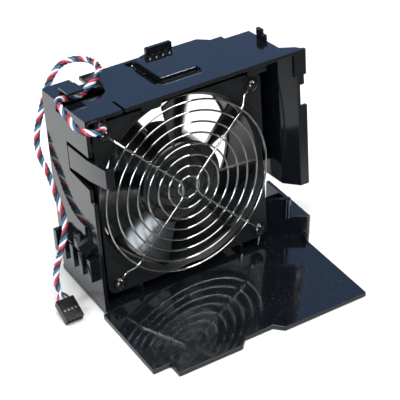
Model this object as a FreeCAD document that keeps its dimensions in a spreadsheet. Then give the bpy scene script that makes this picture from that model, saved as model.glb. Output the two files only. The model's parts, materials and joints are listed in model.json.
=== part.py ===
"""Shrouded fan assembly: an axial fan that leans back in a moulded shroud with an apron floor.

The fan has a frame of its own: its centre at the front face is the zero point, +X is to the right,
+Y runs back along the airflow and +Z is up. That frame leans back over the floor, which is flat.
"""
import FreeCAD, Part
import math
import os
import re

import Sketcher
from FreeCAD import Placement, Rotation, Vector

# Driving dimensions: millimetres, degrees and counts
SIZES = [
    ("wall", 2.5, "wall of the shroud moulding"),
    ("clearance", 0.3, "gap round a moving latch"),
    ("lean", 6.5, "angle by which the fan leans back over the floor"),
    ("fan_size", 120, "side of the square fan"),
    ("fan_depth", 38, "depth of the fan along its axis"),
    ("hole_spacing", 105, "distance between corner holes"),
    ("hole_dia", 4.4, "corner hole"),
    ("flange_thick", 5, "thickness of each fan flange"),
    ("flange_corner", 6, "rounding of the flange corners"),
    ("post_dia", 8.4, "tube round each corner hole, between the flanges"),
    ("barrel_radius", 57.6, "bore of the fan barrel"),
    ("barrel_wall", 1.6, "wall of the fan barrel"),
    ("inlet_flare", 3.2, "widening of the bore at the front face"),
    ("inlet_depth", 4.8, "depth of that widening"),
    ("ridge_width", 0.9, "ridges round the inlet"),
    ("ridge_height", 0.5, "those ridges on the flange"),
    ("ridge_gap", 1, "space before each ridge"),
    ("strut_width", 5, "width of the motor struts"),
    ("strut_depth", 4, "depth of the motor struts"),
    ("strut_turn", 58, "angle of the first strut"),
    ("base_radius", 27.5, "radius of the motor base"),
    ("base_thick", 3, "thickness of the motor base"),
    ("base_rim", 4, "height of the motor base's rim"),
    ("base_rim_wall", 1.7, "wall of that rim"),
    ("hub_radius", 28, "radius of the impeller hub"),
    ("hub_skin", 1.8, "wall of the impeller hub"),
    ("hub_setback", 2, "hub's front behind the fan's front face"),
    ("hub_gap", 2, "gap between the hub and the motor base's rim"),
    ("hub_dish", 1.2, "depth of the round dish in the hub's front"),
    ("tip_gap", 0.8, "gap between blade tips and barrel"),
    ("blade_front", 49, "angle of the first blade's leading edge"),
    ("blade_setback", 0.4, "leading edge behind the hub's front"),
    ("blade_depth", 24, "blade length along the axis"),
    ("blade_wrap_root", 46, "angle that a blade covers at the hub"),
    ("blade_wrap_tip", 36, "angle that a blade covers at its tip"),
    ("blade_thick", 1.6, "blade thickness"),
    ("blade_camber", 2.6, "bow of a blade's section"),
    ("yoke_wall", 1.2, "wall of the steel rotor cup"),
    ("yoke_length", 22, "length of the rotor cup"),
    ("magnet_thick", 3.2, "wall of the ring magnet"),
    ("magnet_length", 17, "length of the ring magnet"),
    ("magnet_setback", 1.5, "magnet behind the cup's floor"),
    ("air_gap", 0.6, "gap between magnet and stator"),
    ("shaft_radius", 2, "bore of the bearings"),
    ("running_gap", 0.04, "radial clearance of the shaft in its bearings"),
    ("bearing_radius", 5.5, "outside of the bearings"),
    ("bearing_width", 4, "width of the bearings"),
    ("bearing_inset", 0.6, "front bearing behind the tube's mouth"),
    ("tube_wall", 1.5, "wall of the bearing tube"),
    ("tube_gap", 2, "gap between the rotor cup and the bearing tube"),
    ("clip_thick", 0.6, "thickness of the shaft clip"),
    ("clip_radius", 3.6, "outside of the shaft clip"),
    ("clip_groove", 0.45, "depth of the clip's groove"),
    ("clip_gap", 0.4, "gap between rear bearing and clip"),
    ("shaft_tail", 0.8, "shaft behind the clip"),
    ("stator_length", 11, "stack of the stator core"),
    ("stator_setback", 5, "stator behind the bearing tube's mouth"),
    ("stator_ring", 3.2, "ring of the core round the bearing tube"),
    ("arm_width", 5, "width of a stator arm"),
    ("shoe_thick", 2.2, "thickness of a pole shoe"),
    ("shoe_slot", 4, "slot between pole shoes"),
    ("bobbin_thick", 1, "insulating bobbin on each end of the core"),
    ("coil_build", 2.4, "depth of wire on each side of an arm"),
    ("coil_gap", 0.8, "gap between a coil and the pole shoe"),
    ("board_thick", 1.6, "circuit board"),
    ("board_gap", 1.3, "gap between the circuit board and the motor base's rim"),
    ("board_stand", 3.2, "circuit board above the motor base"),
    ("collar_wall", 3, "collar round the bearing tube"),
    ("guard_over", 0.8, "largest guard ring outside the barrel's bore"),
    ("ring_wire", 1.25, "wire of the guard rings"),
    ("spoke_wire", 1.5, "wire of the guard spokes"),
    ("guard_rise", 6.4, "spoke wire's middle in front of the fan's front face"),
    ("weld_sink", 0.1, "depth of each weld"),
    ("spoke_bend", 5, "where a spoke turns beside the centre"),
    ("kink_start", 8, "spoke's kink, from the hole's middle"),
    ("kink_end", 15, "end of that kink"),
    ("eye_radius", 3.05, "eye of a spoke, at the wire's middle"),
    ("rivet_head", 4.5, "radius of a rivet's head"),
    ("rivet_dome", 3.4, "height of a rivet's head"),
    ("rivet_stem", 2.05, "radius of a rivet's stem"),
    ("rivet_tail", 3, "stem behind the flange"),
    ("left_gap", 3.8, "space between fan and left wall"),
    ("right_gap", 16.9, "space between fan and right wall"),
    ("top_gap", 4.7, "space between fan and top plate"),
    ("front_lip", 5.2, "walls in front of the fan's front face"),
    ("rear_rim", 11, "walls behind the rear bulkhead"),
    ("outlet_inset", 1, "bulkhead opening inside the barrel's bore"),
    ("step_at", 46, "where the top plate's back edge steps forward"),
    ("step_run", 6.4, "slanted part of that step"),
    ("step_depth", 6.6, "depth of that step"),
    ("step_flat", 8.4, "straight part after that step"),
    ("wing_start", 6.5, "where the right wing flares from the wall"),
    ("wing_reach", 12.2, "wing's front edge beyond the right wall"),
    ("wing_knee", 8.3, "wing's knee beyond the right wall"),
    ("wing_knee_back", 1.1, "wing's knee behind the fan's front face"),
    ("wing_drop", 30, "wing's lower edge below the fan's axis"),
    ("lip_width", 6.6, "front lip of the wing"),
    ("lip_notch", 4.9, "depth of the notch in that lip"),
    ("lip_notch_low", 28, "lower end of that notch above the axis"),
    ("lip_notch_high", 43, "upper end of that notch"),
    ("lip_ledge", 49.5, "top of the lip's narrower part"),
    ("lip_ledge_in", 1.8, "narrower part set in"),
    ("lip_pad", 2.6, "pad inside the lip's upper part"),
    ("slot_middle", 26.3, "middle of the cable slot behind the fan's front"),
    ("slot_width", 12.5, "cable slot in the top plate"),
    ("slot_length", 30.3, "cable slot from the left edge"),
    ("slot_dip", 5.2, "depth of the slot's notch in the left wall"),
    ("tongue_from", 4.3, "cable tongue from the left edge"),
    ("tongue_length", 11, "cable tongue along the slot"),
    ("tongue_rise", 4.2, "cable tongue above the top plate"),
    ("tongue_reach", 10.5, "cable tongue over the slot"),
    ("tongue_thick", 2, "cable tongue"),
    ("rear_notch_at", 23.1, "notch in the back edge from the left edge"),
    ("rear_notch_width", 6.5, "that notch"),
    ("rear_notch_depth", 11, "that notch"),
    ("slit_at", 26.3, "slit in the top's front edge from the left edge"),
    ("slit_width", 1.4, "that slit"),
    ("slit_length", 13, "that slit"),
    ("hook_drop", 2.1, "snap hooks over the flange's edge"),
    ("hook_thick", 2.6, "snap hooks"),
    ("hook_width", 14, "snap hooks"),
    ("hook_left", -27, "left snap hook"),
    ("hook_right", 49, "right snap hook"),
    ("rib_thick", 2.4, "ribs that centre the fan"),
    ("rib_at", 38, "those ribs from the fan's axis"),
    ("latch_left", -4, "left side of the top latch"),
    ("latch_width", 28, "top latch"),
    ("latch_slot", 5, "slot left of the top latch"),
    ("latch_side", 0.8, "slot right of the top latch"),
    ("latch_root", 11.3, "top latch's flexing line behind the fan's front"),
    ("latch_end", 4.2, "top latch's end in front of the back edge"),
    ("latch_strip", 3.1, "strip of the top plate behind the top latch"),
    ("pocket_depth", 2, "recess beside the top latch"),
    ("pocket_floor", 1.2, "floor of that recess"),
    ("bead_width", 0.9, "raised beads along the flexing line"),
    ("bead_rise", 0.7, "those beads above the top plate"),
    ("flex_width", 4.8, "groove over the flexing line"),
    ("flex_depth", 0.9, "that groove"),
    ("grip_width", 19, "thumb grip of the top latch"),
    ("grip_height", 7.6, "thumb grip"),
    ("grip_thick", 2.6, "thumb grip"),
    ("grip_rib", 1.1, "gussets of the thumb grip"),
    ("grip_rib_run", 2.6, "those gussets in front of the grip"),
    ("tooth_width", 3.6, "catch tooth beside the grip"),
    ("tooth_height", 3.2, "catch tooth"),
    ("finger_root", 21.5, "side latch's flexing line behind the fan's front"),
    ("finger_low", 25.3, "side latch's lower edge above the axis"),
    ("finger_high", 40.6, "side latch's upper edge above the axis"),
    ("finger_reach", 15.3, "side latch in front of the wall"),
    ("finger_bend", 2.3, "side latch's tip set in from the wall"),
    ("finger_taper", 2.6, "side latch's tip raised from its root's lower edge"),
    ("finger_straight", 3, "where the side latch bends, in front of the fan's front"),
    ("nose_width", 5.7, "turned-in nose of the side latch"),
    ("finger_slit", 2.6, "slits above and below the side latch"),
    ("slit_slope", 3, "lower slit's widening towards the front"),
    ("wall_notch", 3.6, "notch in the left wall's front edge"),
    ("wall_notch_drop", 8.5, "height of that notch"),
    ("comb_reach", 6.7, "comb fins out of the left wall"),
    ("comb_thick", 4, "comb fins"),
    ("comb_front", 4, "first fin in front of the fan's front"),
    ("comb_pitch", 11.2, "spacing of the fins"),
    ("comb_top", 27, "fins' upper end below the axis"),
    ("comb_height", 16, "comb fins"),
    ("shelf_edge", 0.8, "outer edge of the shelf over the fins"),
    ("shelf_rise", 10, "slope of that shelf up the wall"),
    ("peg_height", 11, "peg on that shelf"),
    ("peg_thick", 3.4, "that peg"),
    ("side_post_at", 19.5, "post on the right wall behind the fan's front"),
    ("side_post_length", 9, "that post"),
    ("side_post_height", 7, "that post"),
    ("floor_thick", 3.5, "apron floor"),
    ("floor_gap", 1.3, "fan's lowest edge above the floor"),
    ("floor_left", 2.7, "floor's left edge outside the left wall"),
    ("floor_side", 22.7, "floor's right edge beyond the fan"),
    ("floor_front", 85, "floor's front edge from the fan's foot"),
    ("floor_back", 44, "floor's back edge from the fan's foot"),
    ("corner_width", 12, "cut-off left front corner of the floor"),
    ("corner_depth", 10, "that corner"),
    ("bay_left", -11.5, "left end of the bay in the front edge"),
    ("bay_right", 20, "right end of that bay"),
    ("bay_depth", 5.6, "that bay"),
    ("bay_slant", 5.5, "slanted ends of that bay"),
    ("ledge_height", 17, "raised ledge beside the fan"),
    ("ledge_side", 29.5, "ledge's right edge beyond the fan"),
    ("ledge_front", 14.3, "ledge's front edge from the fan's foot"),
    ("ledge_back", 34, "ledge's back edge from the fan's foot"),
    ("ledge_cover", 7, "ledge's cover behind the fan's foot"),
    ("riser_depth", 15.6, "slanted front of the ledge"),
    ("screen_height", 14, "screen on the slanted front"),
    ("screen_share", 13.5, "screen's length across"),
    ("pillar_radius", 2.6, "pillar at the screen's end"),
    ("bump_height", 5, "bump on the floor's right edge"),
    ("bump_length", 6, "that bump"),
    ("bump_at", 23, "that bump from the fan's foot"),
    ("lead_at", -53.5, "where the leads leave the fan's flange"),
    ("lead_notch", 7, "notch for the lead grommet"),
    ("lead_notch_depth", 2.5, "that notch"),
    ("cable_dia", 4.3, "twisted bundle of leads"),
    ("plug_width", 12.2, "plug housing"),
    ("plug_length", 15, "plug housing"),
    ("plug_thick", 5.5, "plug housing"),
    ("plug_tilt", 23, "plug's back end raised"),
    ("pin_pitch", 2.54, "spacing of the plug's cavities"),
    ("cavity", 1.7, "plug cavities"),
    ("terminal_gap", 0.1, "terminal inside its cavity"),
    ("terminal_length", 9, "crimp terminals"),
]

# Sizes that follow from the driving ones
DERIVED = [
    ("half", "fan_size / 2"),
    ("fan_reach", "max(half; barrel_radius + barrel_wall)"),
    ("axis_height", "floor_thick + floor_gap + fan_reach * cos(lean) + fan_depth * sin(lean)"),
    ("left_inner", "fan_reach + left_gap"),
    ("left_outer", "left_inner + wall"),
    ("right_inner", "fan_reach + right_gap"),
    ("right_outer", "right_inner + wall"),
    ("top_inner", "fan_reach + top_gap"),
    ("top_outer", "top_inner + wall"),
    ("bulkhead_back", "fan_depth + wall"),
    ("box_back", "bulkhead_back + rear_rim"),
    ("wing_right", "right_outer + wing_reach"),
    ("flange_rear", "fan_depth - flange_thick"),
    ("base_front", "fan_depth - base_thick"),
    ("hub_rear", "base_front - base_rim - hub_gap"),
    ("board_radius", "base_radius - base_rim_wall - board_gap"),
    ("yoke_radius", "hub_radius - hub_skin"),
    ("yoke_front", "hub_setback + hub_skin"),
    ("yoke_floor", "yoke_front + yoke_wall"),
    ("magnet_radius", "yoke_radius - yoke_wall"),
    ("stator_radius", "magnet_radius - magnet_thick - air_gap"),
    ("shaft_body", "shaft_radius - running_gap"),
    ("tube_front", "yoke_floor + tube_gap"),
    ("tube_radius", "bearing_radius + tube_wall"),
    ("front_bearing_at", "tube_front + bearing_inset"),
    ("clip_at", "base_front - shaft_tail - clip_thick - clip_gap"),
    ("rear_bearing_at", "clip_at - clip_gap - bearing_width"),
    ("stator_front", "tube_front + stator_setback"),
    ("stator_rear", "stator_front + stator_length"),
    ("collar_radius", "tube_radius + collar_wall"),
    ("board_front", "base_front - board_stand - board_thick"),
    ("guard_reach", "barrel_radius + guard_over"),
    ("ring_plane", "-guard_rise + (ring_wire + spoke_wire) / 2 - weld_sink"),
    ("eye_plane", "-spoke_wire / 2"),
    ("floor_right", "fan_reach + floor_side"),
    ("ledge_right", "fan_reach + ledge_side"),
    ("latch_right", "latch_left + latch_width"),
    ("flex_rim", "(wall - flex_depth) / 2"),
    ("finger_tip", "-front_lip - finger_reach"),
    ("lead_height", "half - lead_notch_depth + cable_dia / 2 + clearance"),
]

# The cable's route, in millimetres over the floor: out of the fan's flange, round the left wall,
# through the slot in the top plate, over the back edge and down the left side to the plug
CABLE_ROUTE = [
    (-54.6, 0.2, 129.3), (-59.0, -4.7, 131.2), (-66.4, -6.0, 132.8), (-72.3, -0.8, 134.0),
    (-72.2, 9.4, 135.3), (-71.7, 19.6, 137.1), (-70.6, 28.6, 137.4), (-65.5, 33.6, 135.6),
    (-57.5, 34.2, 132.9), (-50.0, 34.5, 133.4), (-43.5, 36.4, 136.6), (-36.5, 40.4, 138.4),
    (-31.0, 47.3, 138.0), (-28.6, 56.5, 136.8), (-29.4, 66.0, 134.9), (-35.0, 71.6, 134.4),
    (-43.3, 73.3, 133.5), (-50.5, 71.4, 129.5), (-56.0, 68.6, 124.4), (-60.9, 65.6, 117.5),
    (-64.6, 64.0, 108.6), (-68.2, 63.2, 99.4), (-70.4, 61.1, 90.0), (-70.6, 57.7, 82.2),
    (-70.3, 51.4, 77.4), (-70.0, 44.8, 71.3), (-70.0, 40.2, 64.1), (-70.2, 34.1, 58.3),
    (-71.0, 27.9, 52.7), (-73.2, 22.5, 48.1), (-76.8, 19.0, 43.2), (-79.9, 19.2, 33.6),
    (-82.8, 20.4, 21.4), (-86.0, 14.63, 12.55),
]

# The plug lies on the floor's level beside the left wall: middle of its lower front edge
PLUG_TIP = Vector(-86.0, -7.3, 0.25)

BLADES = 7
RINGS = 8
STRUTS = 4
POLES = 4
FINS = 5
RIDGES = 2
GRIP_RIBS = 4
PINS = 4
FAR = "400"

doc = FreeCAD.newDocument("shrouded_fan")
sheet = doc.addObject("Spreadsheet::Sheet", "Sizes")
for row, (alias, number, note) in enumerate(SIZES, start=1):
    sheet.set(f"A{row}", alias)
    sheet.set(f"B{row}", str(number))
    sheet.setAlias(f"B{row}", alias)
    sheet.set(f"C{row}", note)
SIZE_NAMES = {alias for alias, number, note in SIZES}
DERIVED_NAMES = {name for name, text in DERIVED}


def formula(text):
    """Point each named size in a formula at the sheet or at the derived sizes."""
    def place(match):
        word = match.group()
        if word in SIZE_NAMES:
            return "Sizes." + word
        if word in DERIVED_NAMES:
            return "Derived." + word
        return word
    return re.sub(r"[a-z_]+", place, text)


derived = doc.addObject("App::VarSet", "Derived")
for name, text in DERIVED:
    derived.addProperty("App::PropertyFloat", name)
    derived.setExpression(name, formula(text))
doc.recompute()


def number(name):
    """Value of a size, for shapes that are worked out in code."""
    if name in SIZE_NAMES:
        return float(sheet.get(name))
    return float(getattr(derived, name))


# Building blocks
PLANES = {"z": Rotation(), "y": Rotation(Vector(1, 0, 0), 90), "x": Rotation(Vector(1, 1, 1), 120)}
ALONG = {"z": Vector(0, 0, 1), "y": Vector(0, 1, 0), "x": Vector(1, 0, 0)}
TURN_TO = {"z": Rotation(), "y": Rotation(Vector(1, 0, 0), -90), "x": Rotation(Vector(0, 1, 0), 90)}


def bind(thing, **texts):
    """Tie properties of an object to formulas."""
    for name, text in texts.items():
        thing.setExpression(name, formula(text))
    return thing


def put(thing, x="0", y="0", z="0"):
    """Tie an object's place to formulas."""
    for axis, text in zip("xyz", (x, y, z)):
        thing.setExpression("Placement.Base." + axis, formula(text))
    return thing


def block(name, x, y, z):
    """Box between two formulas on each axis."""
    solid = doc.addObject("Part::Box", name)
    for side, (low, high) in zip(("Length", "Width", "Height"), (x, y, z)):
        solid.setExpression(side, formula(f"({high}) - ({low})"))
    return put(solid, x[0], y[0], z[0])


def rod(name, radius, span, axis="y", **middle):
    """Cylinder along an axis."""
    solid = doc.addObject("Part::Cylinder", name)
    solid.Placement = Placement(Vector(), TURN_TO[axis])
    bind(solid, Radius=radius, Height=f"({span[1]}) - ({span[0]})")
    return put(solid, **{**middle, axis: span[0]})


def outline(name, points):
    """Closed polygon whose corners are tied to formulas."""
    sketch = doc.addObject("Sketcher::SketchObject", name)
    count = len(points)
    turns = [2 * math.pi * index / count for index in range(count)]
    ring = [Vector(100 * math.cos(turn), 100 * math.sin(turn), 0) for turn in turns]
    for index in range(count):
        sketch.addGeometry(Part.LineSegment(ring[index], ring[(index + 1) % count]))
    for index in range(count):
        sketch.addConstraint(Sketcher.Constraint("Coincident", index, 2, (index + 1) % count, 1))
    for index, (across, along) in enumerate(points):
        start = ring[index]
        for kind, text, value in (("DistanceX", across, start.x), ("DistanceY", along, start.y)):
            which = sketch.addConstraint(Sketcher.Constraint(kind, -1, 1, index, 1, value))
            sketch.setExpression(f"Constraints[{which}]", formula(text))
    return sketch


def prism(name, axis, points, span):
    """Polygon across an axis, extruded along it: (X, Y) for z, (X, Z) for y, (Y, Z) for x."""
    sketch = outline(name + "_outline", points)
    sketch.Placement = Placement(Vector(), PLANES[axis])
    put(sketch, **{axis: span[0]})
    solid = doc.addObject("Part::Extrusion", name)
    solid.Base = sketch
    solid.DirMode = "Custom"
    solid.Dir = ALONG[axis]
    solid.Solid = True
    return bind(solid, LengthFwd=f"({span[1]}) - ({span[0]})")


def turned(name, points):
    """Profile of radius and place along Y, turned about the Y axis."""
    solid = doc.addObject("Part::Revolution", name)
    solid.Source = outline(name + "_profile", points)
    solid.Axis = ALONG["y"]
    solid.Angle = 360
    solid.Solid = True
    return solid


def ring(name, inner, outer, span):
    """Plain ring about the Y axis."""
    low, high = span
    return turned(name, [(inner, low), (outer, low), (outer, high), (inner, high)])


def fuse(name, pieces):
    solid = doc.addObject("Part::MultiFuse", name)
    solid.Shapes = pieces
    solid.Refine = True
    return solid


def cut(name, base, tools):
    tool = tools[0] if len(tools) == 1 else fuse(name + "_tools", tools)
    solid = doc.addObject("Part::Cut", name)
    solid.Base = base
    solid.Tool = tool
    solid.Refine = True
    return solid


def common(name, pieces):
    solid = doc.addObject("Part::MultiCommon", name)
    solid.Shapes = pieces
    return solid


def group(name, pieces):
    """Separate solids in one node."""
    bundle = doc.addObject("Part::Compound", name)
    bundle.Links = pieces
    return bundle


def spun(thing, angle):
    """Turn an object about the fan's axis by a formula of degrees, from X towards Z."""
    thing.Placement = Placement(Vector(), Rotation(Vector(0, -1, 0), 1))
    thing.setExpression("Placement.Rotation.Angle", formula(angle))
    return thing


def coded(name, shape):
    """Object whose shape is worked out in code."""
    thing = doc.addObject("Part::Feature", name)
    thing.Shape = shape
    return thing


def lean_back(thing):
    """Move an object from the fan's frame to its place over the floor."""
    thing.Placement = Placement(Vector(), Rotation(Vector(-1, 0, 0), 1))
    bind(thing, **{"Placement.Base.z": "axis_height", "Placement.Rotation.Angle": "lean"})
    return thing


nodes = []


def finish(thing, label):
    """Name a sub-part that is handed in."""
    thing.Label = label
    nodes.append(thing)
    return thing


def in_fan(thing, label):
    """Sub-part that is modelled in the fan's frame."""
    return finish(lean_back(thing), label)


def path_through(points):
    """Straight runs joined by arcs, each as large as its two runs allow."""
    edges = []
    radii = []
    last = points[0]
    for before, corner, after in zip(points, points[1:], points[2:]):
        back = before - corner
        ahead = after - corner
        shorter = min(back.Length, ahead.Length)
        turn = math.pi - back.getAngle(ahead)
        set_back = 0.45 * shorter
        radii.append(set_back / math.tan(turn / 2))
        back.normalize()
        ahead.normalize()
        begin = corner + back * set_back
        end = corner + ahead * set_back
        inward = back + ahead
        inward.normalize()
        to_middle = math.hypot(radii[-1], set_back)
        middle = corner + inward * (to_middle - radii[-1])
        edges.append(Part.LineSegment(last, begin).toShape())
        edges.append(Part.Arc(begin, middle, end).toShape())
        last = end
    edges.append(Part.LineSegment(last, points[-1]).toShape())
    return Part.Wire(edges), radii


def wire_along(path, first, second, radius):
    """Round wire swept along a path."""
    section = Part.Wire(Part.makeCircle(radius, first, second - first))
    return path.makePipeShell([section], True, False)


# Fan frame: two square flanges, the barrel between them, motor base and struts
def rounded_flange(name, front, back):
    plate = block(name + "_plate", ("-half", "half"), (front, back), ("-half", "half"))
    doc.recompute()
    rounded = doc.addObject("Part::Fillet", name)
    rounded.Base = plate
    corner = number("flange_corner")
    along = [index for index, edge in enumerate(plate.Shape.Edges, start=1)
             if abs(edge.tangentAt(edge.FirstParameter).y) > 0.9]
    rounded.Edges = [(index, corner, corner) for index in along]
    return rounded


CORNERS = [(x, z) for x in ("-hole_spacing / 2", "hole_spacing / 2")
           for z in ("-hole_spacing / 2", "hole_spacing / 2")]


def fan_frame():
    whole = ("0", "fan_depth")
    solids = [rounded_flange("front_flange", "0", "flange_thick"),
              rounded_flange("rear_flange", "flange_rear", "fan_depth"),
              rod("barrel_outside", "barrel_radius + barrel_wall", whole)]
    holes = [rod("barrel_bore", "barrel_radius", ("-1", "fan_depth + 1"))]
    flare = turned("inlet_cone", [("0", "0"), ("barrel_radius + inlet_flare", "0"),
                                  ("barrel_radius", "inlet_depth"), ("0", "inlet_depth")])
    holes.append(flare)
    for index, (x, z) in enumerate(CORNERS):
        solids.append(rod(f"corner_post_{index}", "post_dia / 2", whole, x=x, z=z))
        holes.append(rod(f"corner_hole_{index}", "hole_dia / 2", ("-1", "fan_depth + 1"), x=x, z=z))
    holes.append(block("lead_notch_cut", ("lead_at - lead_notch / 2", "lead_at + lead_notch / 2"),
                       ("-1", "flange_thick + 1"), ("half - lead_notch_depth", "half + 1")))
    edge = "barrel_radius + inlet_flare"
    ridges = [ring(f"ridge_{index}", f"{edge} + ridge_gap * {index + 1} + ridge_width * {index}",
                   f"{edge} + (ridge_gap + ridge_width) * {index + 1}",
                   ("-ridge_height", "flange_thick / 2")) for index in range(RIDGES)]
    inside_hooks = ("-half + hook_drop + clearance", "half - hook_drop - clearance")
    ridge_field = block("ridge_field", inside_hooks, ("-ridge_height", "flange_thick / 2"), inside_hooks)
    solids.append(common("inlet_ridges", [ridge_field, fuse("ridge_rings", ridges)]))
    shell = cut("frame_shell", fuse("frame_blank", solids), holes)
    base = turned("motor_base", [
        ("0", "base_front"), ("tube_radius", "base_front"),
        ("tube_radius", "base_front - board_stand"), ("collar_radius", "base_front - board_stand"),
        ("collar_radius", "base_front"), ("base_radius - base_rim_wall", "base_front"),
        ("base_radius - base_rim_wall", "base_front - base_rim"), ("base_radius", "base_front - base_rim"),
        ("base_radius", "fan_depth"), ("0", "fan_depth")])
    struts = []
    for index in range(STRUTS):
        strut = block(f"strut_{index}",
                      ("base_radius - base_rim_wall / 2", "barrel_radius + barrel_wall / 2"),
                      ("fan_depth - strut_depth", "fan_depth"), ("-strut_width / 2", "strut_width / 2"))
        holder = group(f"strut_place_{index}", [strut])
        struts.append(spun(holder, f"strut_turn + {360 * index / STRUTS}"))
    in_fan(fuse("fan_frame", [shell, base] + struts), "fan_frame")


# Impeller: a cup-shaped hub with twisted blades
def blade_section(distance, wrap, middle_angle, front_angle):
    """Thin bowed section of a blade, across the radius at the blade's middle angle."""
    radial = Vector(math.cos(middle_angle), 0, math.sin(middle_angle))
    across = Vector(-math.sin(middle_angle), 0, math.cos(middle_angle))
    front = number("hub_setback") + number("blade_setback")
    ahead = distance * math.tan(front_angle - middle_angle)
    behind = distance * math.tan(front_angle - wrap - middle_angle)
    leading = radial * distance + across * ahead + Vector(0, front, 0)
    trailing = radial * distance + across * behind + Vector(0, front + number("blade_depth"), 0)
    chord = trailing - leading
    chord.normalize()
    face = radial.cross(chord)
    face.normalize()
    if face.y > 0:
        face = face * -1
    bow = (leading + trailing) * 0.5 + face * number("blade_camber")
    lift = face * (number("blade_thick") / 2)
    edges = [Part.Arc(leading + lift, bow + lift, trailing + lift).toShape(),
             Part.LineSegment(trailing + lift, trailing - lift).toShape(),
             Part.Arc(trailing - lift, bow - lift, leading - lift).toShape(),
             Part.LineSegment(leading - lift, leading + lift).toShape()]
    return Part.Wire(edges)


def impeller():
    root_wrap = math.radians(number("blade_wrap_root"))
    tip_wrap = math.radians(number("blade_wrap_tip"))
    front_angle = math.radians(number("blade_front"))
    middle_angle = front_angle - (root_wrap + tip_wrap) / 4
    root = (number("hub_radius") - number("hub_skin") / 2) * math.cos(root_wrap - root_wrap / 2)
    tip = number("barrel_radius") + 1
    sections = [blade_section(root, root_wrap, middle_angle, front_angle),
                blade_section(tip, tip_wrap, middle_angle, front_angle)]
    blank = coded("blade_blank", Part.makeLoft(sections, True, True))
    inside = rod("blade_room", "hub_radius - hub_skin / 2", ("0", "fan_depth"))
    outside = rod("blade_sweep", "barrel_radius - tip_gap", ("0", "fan_depth"))
    trimmed = cut("blade", common("blade_in_barrel", [blank, outside]), [inside])
    hub = turned("hub", [
        ("0", "hub_setback + hub_dish"), ("hub_radius * 0.62", "hub_setback + hub_dish"),
        ("hub_radius * 0.7", "hub_setback"), ("hub_radius - hub_skin / 2", "hub_setback"),
        ("hub_radius", "hub_setback + hub_skin / 2"), ("hub_radius", "hub_rear"),
        ("yoke_radius", "hub_rear"), ("yoke_radius", "yoke_front"), ("0", "yoke_front")])
    blades = []
    for index in range(BLADES):
        blades.append(spun(group(f"blade_place_{index}", [trimmed]), f"{360 * index / BLADES}"))
    in_fan(fuse("impeller", [hub] + blades), "impeller")


# Rotor: steel cup, ring magnet, shaft, clip and spring
def rotor():
    in_fan(turned("rotor_yoke", [
        ("shaft_body", "yoke_front"), ("yoke_radius", "yoke_front"),
        ("yoke_radius", "yoke_front + yoke_length"), ("magnet_radius", "yoke_front + yoke_length"),
        ("magnet_radius", "yoke_floor"), ("shaft_body", "yoke_floor")]), "rotor_yoke")
    magnet_front = "yoke_floor + magnet_setback"
    in_fan(ring("ring_magnet", "magnet_radius - magnet_thick", "magnet_radius",
                (magnet_front, magnet_front + " + magnet_length")), "ring_magnet")
    neck = "shaft_body - clip_groove"
    in_fan(turned("rotor_shaft", [
        ("0", "yoke_front"), ("shaft_body", "yoke_front"), ("shaft_body", "clip_at"), (neck, "clip_at"),
        (neck, "clip_at + clip_thick"), ("shaft_body", "clip_at + clip_thick"),
        ("shaft_body", "clip_at + clip_thick + shaft_tail"),
        ("0", "clip_at + clip_thick + shaft_tail")]), "rotor_shaft")
    whole_clip = ring("clip_ring", neck, "clip_radius", ("clip_at", "clip_at + clip_thick"))
    mouth = block("clip_mouth", (f"-({neck}) * 0.8", f"({neck}) * 0.8"),
                  ("clip_at - 1", "clip_at + clip_thick + 1"), ("0", "clip_radius + 1"))
    in_fan(cut("shaft_clip", whole_clip, [mouth]), "shaft_clip")
    in_fan(ring("preload_spring", "shaft_body", "shaft_body + (bearing_radius - shaft_radius) / 3",
                ("yoke_floor", "front_bearing_at - clearance")), "preload_spring")


# Stator: bearings in their tube, laminated core with bobbins and coils, circuit board
def cross(name, span):
    """Outline of the stator core: a ring, arms and pole shoes."""
    pieces = [ring(name + "_ring", "tube_radius", "tube_radius + stator_ring", span)]
    slots = []
    rim = ring(name + "_rim", "stator_radius - shoe_thick", "stator_radius", span)
    for index in range(POLES):
        arm = block(f"{name}_arm_{index}",
                    ("tube_radius + stator_ring / 2", "stator_radius - shoe_thick / 2"),
                    span, ("-arm_width / 2", "arm_width / 2"))
        pieces.append(spun(group(f"{name}_arm_place_{index}", [arm]), f"{360 * index / POLES}"))
        slot = block(f"{name}_slot_{index}", ("0", "stator_radius + 1"), (span[0] + " - 1", span[1] + " + 1"),
                     ("-shoe_slot / 2", "shoe_slot / 2"))
        slots.append(spun(group(f"{name}_slot_place_{index}", [slot]), f"{360 * (index + 0.5) / POLES}"))
    shoes = cut(name + "_shoes", rim, slots)
    return fuse(name, pieces + [shoes])


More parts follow.
